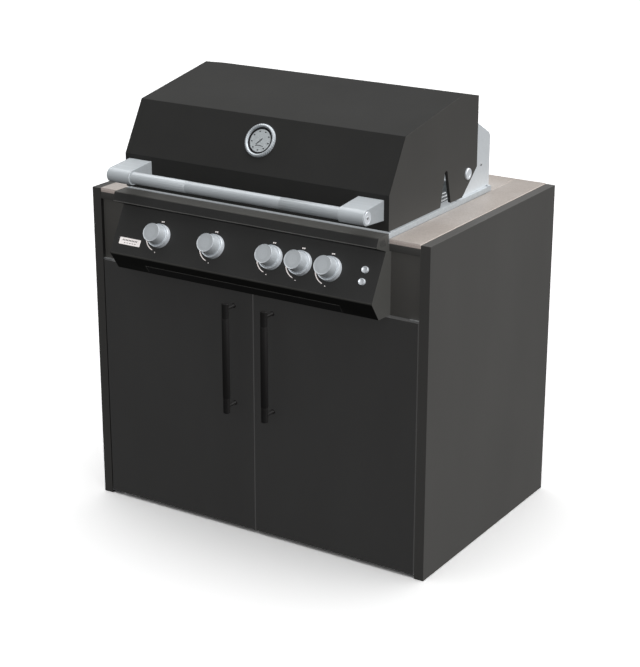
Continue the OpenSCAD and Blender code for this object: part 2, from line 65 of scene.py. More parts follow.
# Two noises read the piece's own coordinates: a broad one varies the colour, a fine one gloss and height.
def makeFinish(key, slot, color, rough=0.45, metal=0.0, mottle=0.08, mottleScale=5.0, stretch=(1, 1, 1),
               grainScale=900.0, grain=0.02, grainDepth=0.0004, roughSpan=0.05, turned=False,
               specular=0.5, alpha=1.0, grainStretch=None):
    mat = bpy.data.materials.new(key)
    mat.use_nodes = True
    tree = mat.node_tree
    shader = tree.nodes["Principled BSDF"]

    def add(kind, **values):
        node = tree.nodes.new(kind)
        for name, value in values.items():
            node.inputs[name].default_value = value
        return node

    if turned:  # rings about the lathe axis: radius and height replace the plain coordinates
        held = add("ShaderNodeAttribute")
        held.attribute_name = "turned"
        split = add("ShaderNodeSeparateXYZ")
        tree.links.new(held.outputs["Vector"], split.inputs[0])
        flat = add("ShaderNodeCombineXYZ")
        tree.links.new(split.outputs["X"], flat.inputs["X"])
        tree.links.new(split.outputs["Y"], flat.inputs["Y"])
        reach = tree.nodes.new("ShaderNodeVectorMath")
        reach.operation = "LENGTH"
        tree.links.new(flat.outputs[0], reach.inputs[0])
        rings = add("ShaderNodeCombineXYZ")
        tree.links.new(reach.outputs["Value"], rings.inputs["X"])
        tree.links.new(split.outputs["Z"], rings.inputs["Y"])
        source = rings.outputs[0]
    else:
        source = add("ShaderNodeTexCoord").outputs["Object"]

    def noise(scale, stretched, detail):
        mapping = add("ShaderNodeMapping", Scale=stretched)
        tree.links.new(source, mapping.inputs["Vector"])
        node = add("ShaderNodeTexNoise", Scale=scale, Detail=detail, Roughness=0.6)
        tree.links.new(mapping.outputs[0], node.inputs["Vector"])
        return node.outputs["Fac"]

    dark, light = [[min(1, c * shade) for c in color] for shade in (1 - mottle, 1 + mottle)]
    tone = twoTone(tree, noise(mottleScale, stretch, 4.0), dark, light, (0.3, 0.7))
    tree.links.new(tone, shader.inputs["Base Color"])
    fine = noise(grainScale, grainStretch or stretch, 2.0)
    span = add("ShaderNodeMapRange")
    span.inputs["To Min"].default_value = max(0.02, rough - roughSpan)
    span.inputs["To Max"].default_value = min(1.0, rough + roughSpan)
    tree.links.new(fine, span.inputs["Value"])
    tree.links.new(span.outputs["Result"], shader.inputs["Roughness"])
    bump = add("ShaderNodeBump", Strength=grain, Distance=grainDepth)
    tree.links.new(fine, bump.inputs["Height"])
    tree.links.new(bump.outputs["Normal"], shader.inputs["Normal"])
    shader.inputs["Metallic"].default_value = metal
    shader.inputs["Specular IOR Level"].default_value = specular
    if alpha < 1:
        shader.inputs["Alpha"].default_value = alpha
    finishes[key] = {"material": mat, "slot": slot, "tree": tree, "shader": shader, "noise": noise,
                     "tone": tone}
    return finishes[key]


finishes = {}
brushed = {"metal": 1.0, "mottle": 0.10, "mottleScale": 9.0, "stretch": (1, 14, 14), "grainScale": 160.0,
           "grain": 0.25, "grainDepth": 0.00008, "roughSpan": 0.08}
turnedMetal = {"metal": 0.35, "mottle": 0.08, "mottleScale": 260.0, "grainScale": 1400.0, "grain": 0.2,
               "grainDepth": 0.00006, "roughSpan": 0.06, "turned": True}
powder = {"specular": 0.3, "grainScale": 1300.0, "grain": 0.12, "grainDepth": 0.00012, "roughSpan": 0.06,
          "mottle": 0.05}
board = {"specular": 0.22, "grainScale": 700.0, "grain": 0.10, "grainDepth": 0.00012, "mottle": 0.06,
         "mottleScale": 4.0, "stretch": (1, 1, 0.35), "roughSpan": 0.05}
rod = {"metal": 1.0, "mottle": 0.16, "mottleScale": 30.0, "grainScale": 500.0, "grain": 0.15,
       "grainDepth": 0.0001}
# Each finish: the record's slot, the colour, and what it changes in one of the kinds above.
finishSpecs = {
    "cabinetBoard": ("cabinet_board", (0.0480, 0.0470, 0.0452), {"rough": 0.55, **board}),
    "doorBoard": ("door_board", (0.0440, 0.0437, 0.0432), {"rough": 0.50, **board}),
    # The filler boards' lighter tone is painted light.
    "fillerLitBoard": ("door_board", (0.062, 0.060, 0.0565), {"rough": 0.55, **board}),
    "blackBar": ("black_bar", (0.0095, 0.009, 0.009), {"rough": 0.5, **powder, "specular": 0.12}),
    "zincFitting": ("zinc_fitting", (0.42, 0.43, 0.44), {"rough": 0.38, **brushed}),
    "catchPlastic": ("catch_plastic", (0.05, 0.05, 0.05), {"rough": 0.5, **powder}),
    "fireboxSteel": ("firebox_steel", (0.36, 0.38, 0.39), {"rough": 0.36, **brushed}),
    "rimSteel": ("rim_steel", (0.345, 0.367, 0.384), {"rough": 0.40, **brushed, "metal": 0.4}),
    "hoodSteel": ("rim_steel", (0.56, 0.59, 0.615), {"rough": 0.42, **brushed, "metal": 0.45,
                                                     "mottle": 0.03}),
    "grateSteel": ("grate_steel", (0.40, 0.41, 0.42), {"rough": 0.34, **rod}),
    "burnerCase": ("burner_case", (0.40, 0.38, 0.36), {"rough": 0.45, **rod}),
    "copperTube": ("copper_tube", (0.65, 0.42, 0.26), {"rough": 0.3, **rod}),
    "valveBrass": ("valve_brass", (0.62, 0.50, 0.24), {"rough": 0.3, **rod}),
    "whiteCeramic": ("white_ceramic", (0.82, 0.80, 0.75), {"rough": 0.6, **powder}),
    # The tray's near-black tone is partly its dark enamel and partly painted shade; its bead's lighter tone
    # is a painted highlight.
    "trayShadedEnamel": ("tray_enamel", (0.010, 0.010, 0.010), {"rough": 0.45, **powder, "specular": 0.10}),
    "trayBeadHighlight": ("tray_enamel", (0.05, 0.049, 0.047), {"rough": 0.4, **powder}),
    "panelPaint": ("panel_paint", (0.0250, 0.0250, 0.0247), {"rough": 0.5, **powder, "specular": 0.14}),
    # The lip's lighter tone is painted light, its glint a painted highlight, and panelShade a painted shade.
    "lipPaintedLight": ("panel_paint", (0.040, 0.0395, 0.037), {"rough": 0.5, **powder, "specular": 0.22}),
    "lipPaintedGlint": ("panel_paint", (0.12, 0.118, 0.112), {"rough": 0.45, **powder}),
    "panelShade": ("panel_paint", (0.008, 0.008, 0.0075), {"rough": 0.6, **powder, "specular": 0.08}),
    # The caps' lighter tone is painted light on their faces to the sides.
    "capSideLitPaint": ("cap_paint", (0.0445, 0.0442, 0.0415), {"rough": 0.45, **powder}),
    "badgePlate": ("badge_plate", (0.95, 0.90, 0.885), {"rough": 0.5, **powder}),
    "badgeInk": ("badge_plate", (0.13, 0.12, 0.12), {"rough": 0.6, **powder}),
    "bezelSteel": ("bezel_steel", (0.56, 0.59, 0.625), {"rough": 0.30, **turnedMetal}),
    "knobMetal": ("knob_metal", (0.46, 0.49, 0.515), {"rough": 0.34, **turnedMetal}),
    "lidPaint": ("lid_paint", (0.0262, 0.0262, 0.0256), {"rough": 0.64, **powder, "specular": 0.02}),
    # The lid sides' lighter tone is painted light.
    "lidSideLitPaint": ("lid_side_paint", (0.039, 0.0382, 0.0362), {"rough": 0.55, **powder, "specular": 0.2}),
    "handleMetal": ("handle_metal", (0.35, 0.375, 0.394), {"rough": 0.44, **brushed, "metal": 0.15,
                                                           "mottle": 0.05}),
    "tubeSteel": ("tube_steel", (0.33, 0.353, 0.371), {"rough": 0.40, **brushed, "metal": 0.2,
                                                       "mottle": 0.05}),
    "dialFace": ("dial_face", (0.41, 0.44, 0.455), {"rough": 0.42, **powder}),
    "caseSteel": ("bezel_steel", (0.40, 0.43, 0.455), {"rough": 0.34, **turnedMetal}),
    "dialRing": ("dial_face", (0.008, 0.008, 0.009), {"rough": 0.5, **powder, "specular": 0.1}),
    "needleBlack": ("needle_black", (0.008, 0.008, 0.008), {"rough": 0.5, **powder, "specular": 0.1}),
    "markPrint": ("badge_plate", (0.92, 0.86, 0.84), {"rough": 0.55, **powder}),
    "clearGlass": ("clear_glass", (0.05, 0.055, 0.06), {"rough": 0.06, "alpha": 0.04, **powder, "grain": 0.0,
                                                      "specular": 0.2}),
    "switchPlastic": ("switch_plastic", (0.03, 0.03, 0.03), {"rough": 0.5, **powder}),
}
for key, (slotName, color, spec) in finishSpecs.items():
    makeFinish(key, slotName, color, **spec)

# Honed stone: flecks over a beige ground, with thin level layers; below topEdge (m) it is paler, painted
# light on the slabs' edges.
slabStone = {"ground": (0.240, 0.224, 0.210), "fleckScale": 240.0, "layerScale": 4.0,
             "layerStretch": (1, 1, 90), "topEdge": (0.9085, 0.9093)}
stone = makeFinish("worktopStone", "worktop_stone", slabStone["ground"], rough=0.5, mottle=0.07,
                   mottleScale=7.0, grainScale=320.0, grain=0.06, grainDepth=0.0002)
stoneTree = stone["tree"]
stoneHeight = stoneTree.nodes.new("ShaderNodeSeparateXYZ")
stoneTree.links.new(stoneTree.nodes.new("ShaderNodeTexCoord").outputs["Object"], stoneHeight.inputs[0])
paintedLightEdge = stoneTree.nodes.new("ShaderNodeMapRange")
paintedLightEdge.inputs["From Min"].default_value, paintedLightEdge.inputs["From Max"].default_value = slabStone["topEdge"]
stoneTree.links.new(stoneHeight.outputs["Z"], paintedLightEdge.inputs["Value"])
flecks = stone["noise"](slabStone["fleckScale"], (1, 1, 1), 3.0)
layers = stone["noise"](slabStone["layerScale"], slabStone["layerStretch"], 3.0)
# The third tone doubles the colour below the top edge, painted light.
shades = [twoTone(stoneTree, flecks, (0.90, 0.885, 0.88), (1.05, 1.04, 1.03), (0.38, 0.62)),
          twoTone(stoneTree, layers, (0.93, 0.90, 0.88), (1.06, 1.05, 1.05), (0.42, 0.60)),
          twoTone(stoneTree, paintedLightEdge.outputs["Result"], (2.1, 2.0, 2.0), (1, 1, 1))]
joined = stone["tone"]
for shade in shades:
    mix = stoneTree.nodes.new("ShaderNodeMix")
    mix.data_type = "RGBA"
    mix.blend_type = "MULTIPLY"
    mix.inputs["Factor"].default_value = 1.0
    stoneTree.links.new(joined, mix.inputs["A"])
    stoneTree.links.new(shade, mix.inputs["B"])
    joined = mix.outputs["Result"]
stoneTree.links.new(joined, stone["shader"].inputs["Base Color"])
print("finishes:", len(finishes))


# A grid surface: point (i, j) is joined to (i+1, j), (i+1, j+1) and (i, j+1); keep drops single faces.
def gridPart(points, wrapI=False, wrapJ=True, rims=False, keep=None, local=None):
    points = np.asarray(points, float)
    ni, nj = points.shape[:2]
    index = np.arange(ni * nj).reshape(ni, nj)
    rows = np.concatenate([index, index[:1]]) if wrapI else index
    rows = np.concatenate([rows, rows[:, :1]], axis=1) if wrapJ else rows
    quads = np.stack([rows[:-1, :-1], rows[1:, :-1], rows[1:, 1:], rows[:-1, 1:]], axis=-1)
    quads = quads[keep] if keep is not None else quads.reshape(-1, 4)
    closing = [index[0][::-1].tolist(), index[-1].tolist()] if rims else []
    return {"points": points.reshape(-1, 3), "faces": quads.tolist() + closing,
            "local": points.reshape(-1, 3) if local is None else np.asarray(local, float).reshape(-1, 3)}


# One object from its parts: doubles merge inside a part, a closed one's faces turn outwards, and edges past
# the angle stay sharp. An open one may get a wall, which stands on its inner side.
def piece(name, parts, body, finish, stands=(), bevel=0.0, solid=0.0, angle=35, closed=True, steps=2):
    whole = bmesh.new()
    for part in parts:
        single = bpy.data.meshes.new(name)
        single.from_pydata(toMetres(part["points"]).tolist(), [], part["faces"])
        held = single.attributes.new("turned", "FLOAT_VECTOR", "POINT")
        held.data.foreach_set("vector", (part["local"] / 1000.0).astype(np.float32).ravel())
        work = bmesh.new()
        work.from_mesh(single)
        bmesh.ops.remove_doubles(work, verts=work.verts, dist=1e-5)
        if closed:
            bmesh.ops.recalc_face_normals(work, faces=work.faces)
        work.to_mesh(single)
        work.free()
        whole.from_mesh(single)
        bpy.data.meshes.remove(single)
    mesh = bpy.data.meshes.new(name)
    whole.to_mesh(mesh)
    whole.free()
    mesh.shade_smooth()
    mesh.set_sharp_from_angle(angle=math.radians(angle))
    obj = bpy.data.objects.new(name, mesh)
    bpy.context.scene.collection.objects.link(obj)
    mesh.materials.append(finishes[finish]["material"])
    if solid:
        wall = obj.modifiers.new("Wall", "SOLIDIFY")
        wall.thickness = solid / 1000.0
        wall.offset = -1
        wall.use_even_offset = True
        obj.modifiers.new("Even", "WEIGHTED_NORMAL").keep_sharp = True
    if bevel:
        ease(obj, bevel, angle, steps)
    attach(obj, body)
    if stands:
        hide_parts(*stands)
    return obj


# Faces picked by their centre (mm, from the front plane) and normal take another finish.
def tint(obj, finish, chosen):
    polygons = obj.data.polygons
    centre, normal = np.empty((len(polygons), 3)), np.empty((len(polygons), 3))
    polygons.foreach_get("center", centre.ravel())
    polygons.foreach_get("normal", normal.ravel())
    slot = np.empty(len(polygons), np.int32)
    polygons.foreach_get("material_index", slot)
    slot[chosen(centre * 1000.0 - (0.0, frontY, 0.0), normal)] = len(obj.data.materials)
    obj.data.materials.append(finishes[finish]["material"])
    polygons.foreach_set("material_index", slot)


# Rounds the edges sharper than the angle and weighs the normals by face area.
def ease(obj, width, angle=35, steps=2):
    edge = obj.modifiers.new("Edge", "BEVEL")
    edge.width = width / 1000.0
    edge.segments = steps
    edge.limit_method = "ANGLE"
    edge.angle_limit = math.radians(angle)
    edge.use_clamp_overlap = True
    obj.modifiers.new("Even", "WEIGHTED_NORMAL").keep_sharp = True


# A node of the frame keeps its shape and takes a finish; its triangles are welded before edges are eased.
def dress(name, finish, width=0.0):
    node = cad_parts[name]
    material = finishes[finish]["material"]
    if node.material_slots:
        for held in node.material_slots:
            held.material = material
    else:
        node.data.materials.append(material)
    if width:
        weld = node.modifiers.new("Weld", "WELD")
        weld.merge_threshold = 1e-5
        flat = node.modifiers.new("Flat", "DECIMATE")
        flat.decimate_type = "DISSOLVE"
        flat.angle_limit = math.radians(1)
        ease(node, width, 40)


# Each corner becomes a parabola that touches both sides; the radius shrinks where a side is too short.
def roundCorners(points, radius, steps=5, closed=False):
    corner = np.asarray(points, float)
    a, b = np.roll(corner, 1, 0) - corner, np.roll(corner, -1, 0) - corner
    la, lb = np.linalg.norm(a, axis=1, keepdims=True), np.linalg.norm(b, axis=1, keepdims=True)
    a, b = a / la, b / lb
    half = 0.5 * np.arccos(np.clip((a * b).sum(1, keepdims=True), -1, 1))
    reach = np.minimum(np.broadcast_to(np.reshape(radius, (-1, 1)), half.shape) / np.tan(half),
                       0.45 * np.minimum(la, lb))
    t = np.linspace(0, 1, steps + 1)[None, :, None]
    arc = ((1 - t) ** 2 * (corner + a * reach)[:, None] + 2 * t * (1 - t) * corner[:, None]
           + t ** 2 * (corner + b * reach)[:, None])
    if closed:
        return arc.reshape(-1, 2)
    return np.concatenate([corner[:1], arc[1:-1].reshape(-1, 2), corner[-1:]])


# An outline of depth and height carried straight along X, closed at both ends.
def acrossX(outline, x0, x1):
    outline = np.asarray(outline, float)
    grid = np.empty((2, len(outline), 3))
    grid[:, :, 0] = np.array([[x0], [x1]])
    grid[:, :, 1:] = outline
    return gridPart(grid, rims=True)


# An open path of depth and height carried along X through the given stations, with no thickness. Its faces
# point to the path's left where the stations fall, and to its right where they rise.
def skinX(path, stations, keep=None):
    path, stations = np.asarray(path, float), np.asarray(stations, float)
    grid = np.empty((len(path), len(stations), 3))
    grid[:, :, 0] = stations
    grid[:, :, 1:] = path[:, None]
    return gridPart(grid, wrapJ=False, keep=keep)


# Rounded rectangle in X and Y: four quarter arcs of the same radius, counter-clockwise.
def roundedLoop(x0, x1, y0, y1, radius, steps=4):
    turn = np.linspace(0, math.pi / 2, steps + 1)
    turn = (turn[None] + np.arange(4)[:, None] * math.pi / 2).ravel()
    sx = np.repeat([x1 - radius, x0 + radius, x0 + radius, x1 - radius], steps + 1)
    sy = np.repeat([y1 - radius, y1 - radius, y0 + radius, y0 + radius], steps + 1)
    return np.stack([sx + radius * np.cos(turn), sy + radius * np.sin(turn)], axis=1)


# Rounded rectangles stacked in Z; quarter turns at both ends pull them in, so that every edge is round.
# Its corners keep at least a hair of radius, so that no points fall together.
def roundedBoard(lo, hi, radius, steps=3):
    turn = np.linspace(0, math.pi / 2, steps + 1)
    inset = np.concatenate([radius * (1 - np.sin(turn)), radius * (1 - np.cos(turn))])
    height = np.concatenate([lo[2] + radius * (1 - np.cos(turn)), hi[2] - radius * (1 - np.sin(turn))])
    loops = []
    for pull, z in zip(inset, height):
        corner = max(radius - pull, 0.02)
        loop = roundedLoop(lo[0] + pull, hi[0] - pull, lo[1] + pull, hi[1] - pull, corner, steps)
        loops.append(np.column_stack([loop, np.full(len(loop), z)]))
    return gridPart(np.stack(loops), rims=True)


# A local frame: origin, then the directions that the local X, Y and Z take.
def frameAt(origin, ex, ey, ez):
    return np.array(origin, float), np.array([ex, ey, ez], float)


# Local points times the frame's directions, plus its origin.
def place(local, at):
    return np.asarray(local, float) @ at[1] + at[0]


# A profile of radius and height turned about the local Z; ripple adds to the radius, point by point.
def lathe(profile, at, count=96, ring=False, ripple=None):
    profile = np.asarray(profile, float)
    turn = np.linspace(0, 2 * math.pi, count, endpoint=False)
    radius = profile[:, :1] + (0.0 if ripple is None else ripple)
    local = np.stack([radius * np.cos(turn), radius * np.sin(turn),
                      np.broadcast_to(profile[:, 1:], (len(profile), count))], axis=-1)
    return gridPart(place(local, at), wrapI=ring, local=local)


# A flat outline in local X and Y, raised from one height to another.
def raised(outline, h0, h1, at):
    outline = np.asarray(outline, float)
    local = np.stack([np.column_stack([outline, np.full(len(outline), h)]) for h in (h0, h1)])
    return gridPart(place(local, at), rims=True, local=local)


# A frame on a slope that rises from its foot to its head, both depth and height: X across, Y up the slope.
def onSlope(foot, head, x, s):
    tilt = math.atan2(head[1] - foot[1], head[0] - foot[0])
    c, d = math.cos(tilt), math.sin(tilt)
    return frameAt((x, foot[0] + s * c, foot[1] + s * d), (1, 0, 0), (0, c, d), (0, -d, c))


def onPanel(x, s):
    return onSlope((-78.4, 764.4), (-13.5, 881), x, s)


def onLid(s):
    return onSlope((0, 1019), (77, 1153), 0, s)


# Frames whose local Z runs along X, along Y or up; way is 1 or -1.
def alongX(x, y, z, way=1):
    return frameAt((x, y, z), (0, way, 0), (0, 0, 1), (way, 0, 0))


def alongY(x, y, z, way=1):
    return frameAt((x, y, z), (-way, 0, 0), (0, 0, 1), (0, way, 0))


def alongZ(x, y, z):
    return frameAt((x, y, z), (1, 0, 0), (0, 1, 0), (0, 0, 1))


# The same part on the other side of the middle plane.
def mirrored(part):
    return {"points": part["points"] * (-1, 1, 1), "faces": part["faces"], "local": part["local"]}


# The camera stands in metres from the front plane; its focal length is counted in steps of the long side.
camera = {"place": (2.545529, -3.678872, 2.174604), "yaw": -0.565859, "pitch": 0.341829, "roll": 0.001687,
          "focal": 1795.284, "longSide": 667, "sensor": 36.0, "clip": 200.0}
cy, sy = math.cos(camera["yaw"]), math.sin(camera["yaw"])
cp, sp = math.cos(camera["pitch"]), math.sin(camera["pitch"])
cr, sr = math.cos(camera["roll"]), math.sin(camera["roll"])
ahead = np.array([sy * cp, cy * cp, -sp])
right = np.array([cy, -sy, 0.0])
above = np.cross(right, ahead)
right, above = cr * right + sr * above, cr * above - sr * right
lens = bpy.data.cameras.new("camera")
lens.sensor_width = camera["sensor"]
lens.lens = camera["focal"] * camera["sensor"] / camera["longSide"]
lens.clip_end = camera["clip"]
eye = bpy.data.objects.new("camera", lens)
eye.matrix_world = Matrix([[right[0], above[0], -ahead[0], camera["place"][0]],
                           [right[1], above[1], -ahead[1], camera["place"][1] + frontY / 1000.0],
                           [right[2], above[2], -ahead[2], camera["place"][2]],
                           [0, 0, 0, 1]])
bpy.context.scene.collection.objects.link(eye)
bpy.context.scene.camera = eye

# The sky's strength is a base, plus a part that grows with height and a lobe about a way nearly overhead.
# The floor's two numbers are how pale it looks and how much light it throws back.
studio = {"base": 0.25, "top": 0.02, "lobe": 1.9, "lobeWay": (0.0, 0.04, 1.0), "fall": 8.0, "floor": 1.97,
          "floorBounce": 0.14, "floorHalf": 60.0}
# Each lamp: the way towards it, its power and its spread in degrees; none casts a shadow.
lamps = {"keyLamp": (0.60, 0.50, 0.62, 3.1, 36), "frontLamp": (0.0, -0.82, 0.57, 1.10, 26),
         "sideLamp": (0.97, -0.05, 0.22, 1.75, 60), "topLamp": (-0.3, 0.3, 0.9, 1.75, 60),
         "barLamp": (0.45, -0.70, 0.55, 2.3, 30)}
bpy.context.scene.view_settings.view_transform = "Standard"
world = bpy.data.worlds.new("studio")
bpy.context.scene.world = world
world.use_nodes = True
sky = world.node_tree


# One node of the sky; i0, i1 and so on set its inputs.
def skyNode(kind, operation=None, **values):
    node = sky.nodes.new(kind)
    if operation:
        node.operation = operation
    for name, value in values.items():
        node.inputs[int(name[1:])].default_value = value
    return node


aim = skyNode("ShaderNodeTexCoord").outputs["Generated"]
part = skyNode("ShaderNodeSeparateXYZ")
sky.links.new(aim, part.inputs[0])
rise = skyNode("ShaderNodeMath", "MAXIMUM", i1=0.0)
sky.links.new(part.outputs["Z"], rise.inputs[0])
lift = skyNode("ShaderNodeMath", "MULTIPLY_ADD", i1=studio["top"], i2=studio["base"])
sky.links.new(rise.outputs[0], lift.inputs[0])
toLobe = skyNode("ShaderNodeVectorMath", "DOT_PRODUCT", i1=studio["lobeWay"])
sky.links.new(aim, toLobe.inputs[0])
lobeUp = skyNode("ShaderNodeMath", "MAXIMUM", i1=0.0)
sky.links.new(toLobe.outputs["Value"], lobeUp.inputs[0])
lobeFall = skyNode("ShaderNodeMath", "POWER", i1=studio["fall"])
sky.links.new(lobeUp.outputs[0], lobeFall.inputs[0])
total = skyNode("ShaderNodeMath", "MULTIPLY_ADD", i1=studio["lobe"])
sky.links.new(lobeFall.outputs[0], total.inputs[0])
sky.links.new(lift.outputs[0], total.inputs[2])
seen = skyNode("ShaderNodeMix", i3=1.0)
sky.links.new(skyNode("ShaderNodeLightPath").outputs["Is Camera Ray"], seen.inputs[0])
sky.links.new(total.outputs[0], seen.inputs[2])
sky.links.new(seen.outputs[0], sky.nodes["Background"].inputs["Strength"])
sky.nodes["Background"].inputs["Color"].default_value = (1.0, 1.0, 1.0, 1)
suns = []
for name, (x, y, z, power, spread) in lamps.items():
    sun = bpy.data.lights.new(name, "SUN")
    sun.energy = power
    sun.angle = math.radians(spread)
    sun.use_shadow = False
    suns.append(bpy.data.objects.new(name, sun))
    suns[-1].rotation_euler = Vector((x, y, z)).to_track_quat("Z", "Y").to_euler()
    bpy.context.scene.collection.objects.link(suns[-1])

# The floor is pale to look at and bounces less light than it shows, so the cabinet's underside stays dark.
floorMat = bpy.data.materials.new("floorPaint")
floorMat.use_nodes = True
floorTree = floorMat.node_tree
floorTree.nodes.remove(floorTree.nodes["Principled BSDF"])
pale, dull = [floorTree.nodes.new("ShaderNodeBsdfDiffuse") for _ in range(2)]
for paint, level in ((pale, studio["floor"]), (dull, studio["floorBounce"])):
    paint.inputs["Color"].default_value = (level, level, level, 1)
choose = floorTree.nodes.new("ShaderNodeMixShader")
floorTree.links.new(floorTree.nodes.new("ShaderNodeLightPath").outputs["Is Camera Ray"], choose.inputs[0])
floorTree.links.new(dull.outputs[0], choose.inputs[1])
floorTree.links.new(pale.outputs[0], choose.inputs[2])
floorTree.links.new(choose.outputs[0], floorTree.nodes["Material Output"].inputs["Surface"])
floorMesh = bpy.data.meshes.new("floor")
far = studio["floorHalf"]
floorMesh.from_pydata([(-far, -far, 0), (far, -far, 0), (far, far, 0), (-far, far, 0)], [], [(0, 1, 2, 3)])
floorMesh.materials.append(floorMat)
floor = bpy.data.objects.new("floor", floorMesh)
bpy.context.scene.collection.objects.link(floor)
print("camera, floor and light are set")

cabinet = {"inner": 500.0, "cut": 410.0, "cutBack": 550.0, "depth": 700.0, "top": 898.0, "slab": 12.0,
           "gap": 0.4, "edge": 0.4, "floorEdge": 0.6, "slabEdge": 1.6, "filler": (10.0, 26.0, 709.0),
           "trim": (0.0, 24.0, 879.0)}
for name in ("side_panel_left", "side_panel_right", "back_panel"):
    dress(name, "cabinetBoard", cabinet["edge"])
for name in ("floor_panel", "cross_rails"):
    dress(name, "cabinetBoard", cabinet["floorEdge"])
for name in ("door_left", "door_right"):
    dress(name, "doorBoard", cabinet["edge"])
inner, cut, gap, slabEdge = cabinet["inner"], cabinet["cut"], cabinet["gap"], cabinet["slabEdge"]
top, slabTop = cabinet["top"], cabinet["top"] + cabinet["slab"]
fillerFront, fillerBack, fillerFoot = cabinet["filler"]
trimFront, trimBack, trimFoot = cabinet["trim"]
# The filler boards take a lighter tone than the doors, painted light against the shade under the worktop.
filler = roundedBoard((cut + 1, fillerFront, fillerFoot), (inner, fillerBack, trimFoot), 1.0)
piece("fillerPanels", [filler, mirrored(filler)], "cabinet", "fillerLitBoard", ["filler_panels"])
trim = roundedBoard((cut + 1, trimFront, trimFoot), (inner, trimBack, top), 1.2)
piece("frontTrims", [trim, mirrored(trim)], "cabinet", "cabinetBoard", ["front_trims"])
slab = roundedBoard((cut + gap, 0, top), (inner - gap, cabinet["depth"], slabTop), slabEdge)
piece("worktopSides", [slab, mirrored(slab)], "cabinet", "worktopStone", ["worktop_sides"])
rearSlab = roundedBoard((gap - cut, cabinet["cutBack"] + gap, top), (cut - gap, cabinet["depth"], slabTop),
                        slabEdge)
piece("worktopRear", [rearSlab], "cabinet", "worktopStone", ["worktop_rear"])
dress("hinge_plates", "zincFitting")
dress("door_catches", "catchPlastic")
print("cabinet boards are dressed")

bar = {"x": 61.3, "y": -40.0, "mid": 513.0, "half": 155.0, "radius": 9.6, "grip": 113.0, "gripRadius": 10.1,
       "post": 4.5, "pitch": 138.0, "postEnd": 33.0}
r, g, end, grip = bar["radius"], bar["gripRadius"], bar["half"], bar["grip"]
halfProfile = [(0, -end), (r - 1.2, -end), (r, 1.2 - end), (r, -grip - 1.2), (r - 0.8, -grip - 0.8),
               (r - 0.8, -grip), (g - 0.3, 0.4 - grip), (g, 1 - grip)]
barProfile = np.array(halfProfile + [(a, -b) for a, b in halfProfile[::-1]])
post, postEnd = bar["post"], bar["postEnd"]
postProfile = [(0, 0), (post + 2, 0), (post + 2, 1.4), (post, 2.0), (post, postEnd), (0, postEnd)]
boltProfile = [(0, 20), (4.5, 20), (4.5, 21.9), (3.9, 22.5), (0, 22.5)]  # its head shows inside the door
for side, name, body in ((1, "Right", "right_door"), (-1, "Left", "left_door")):
    parts = [lathe(barProfile, alongZ(side * bar["x"], bar["y"], bar["mid"]), 64)]
    for z in (bar["mid"] - bar["pitch"], bar["mid"] + bar["pitch"]):
        parts.append(lathe(postProfile, alongY(side * bar["x"], 0, z, -1), 40))
        parts.append(lathe(boltProfile, alongY(side * bar["x"], 0, z), 32))
    piece("doorHandle" + name, parts, body, "blackBar", ["door_handle_" + name.lower()])
print("door handles are turned")

panel = {"half": 407.5, "cap": 2.5, "sheet": 2.0, "fold": 761.0, "trayHalf": 306.0, "trayTop": 735.6,
         "trayFoot": 712.8}
panelPath = np.array([(-4.5, 924), (-50, 924), (-60.6, 899.5), (-13.5, 881), (-80.3, panel["fold"]),
                      (-45, 710.4), (-3, 709.3)])
panelRounding = [3, 4, 2.2, 3, 5, 3, 3]
soft = roundCorners(panelPath, panelRounding, 5)


# The path gains a point where it crosses each given height on the panel's return face.
def crossing(path, heights):
    start = int(np.argmin(np.abs(path[:, 1] - panel["fold"])))
    tail = path[start:]
    for z in heights:
        k = int(np.argmax(tail[:, 1] < z))
        share = (tail[k - 1, 1] - z) / (tail[k - 1, 1] - tail[k, 1])
        tail = np.insert(tail, k, tail[k - 1] + share * (tail[k] - tail[k - 1]), axis=0)
    return np.concatenate([path[:start], tail])


soft = crossing(soft, (panel["trayTop"], panel["trayFoot"]))
stations = np.array([-panel["half"], -panel["trayHalf"], panel["trayHalf"], panel["half"]])
openRows = (soft[:-1, 1] <= panel["trayTop"] + 0.01) & (soft[1:, 1] >= panel["trayFoot"] - 0.01)
keepFaces = ~(openRows[:, None] & np.array([False, True, False])[None])
# The lip's top and the band at the lower fold get a lighter tone, painted light.
folded = piece("controlPanel", [skinX(soft, stations, keepFaces)], "cabinet", "panelPaint",
               ["control_panel"], solid=panel["sheet"], angle=40, closed=False)
tint(folded, "lipPaintedLight", lambda c, n: ((c[:, 2] > 912) & (c[:, 1] < 0)) | (np.abs(c[:, 2] - 760.5) < 3.2))
# The lip's lower front edge gets a painted highlight.
tint(folded, "lipPaintedGlint", lambda c, n: (c[:, 1] < -57.5) & (np.abs(c[:, 2] - 900) < 2.2))
# The return face and the lip's underside get a painted shade.
tint(folded, "panelShade", lambda c, n: (c[:, 2] < 757) | (np.abs(c[:, 2] - 890) < 7.5))
capOutline = roundCorners(np.concatenate([panelPath, [(24, 709.3), (24, 896), (-0.4, 896), (-0.4, 924)]]),
                          [*panelRounding, 0.5, 0.5, 0.5, 0.5], 5, closed=True)
cap = acrossX(capOutline, panel["half"], panel["half"] + panel["cap"])
caps = piece("panelEndCaps", [cap, mirrored(cap)], "cabinet", "capSideLitPaint", ["panel_end_caps"], bevel=0.3)
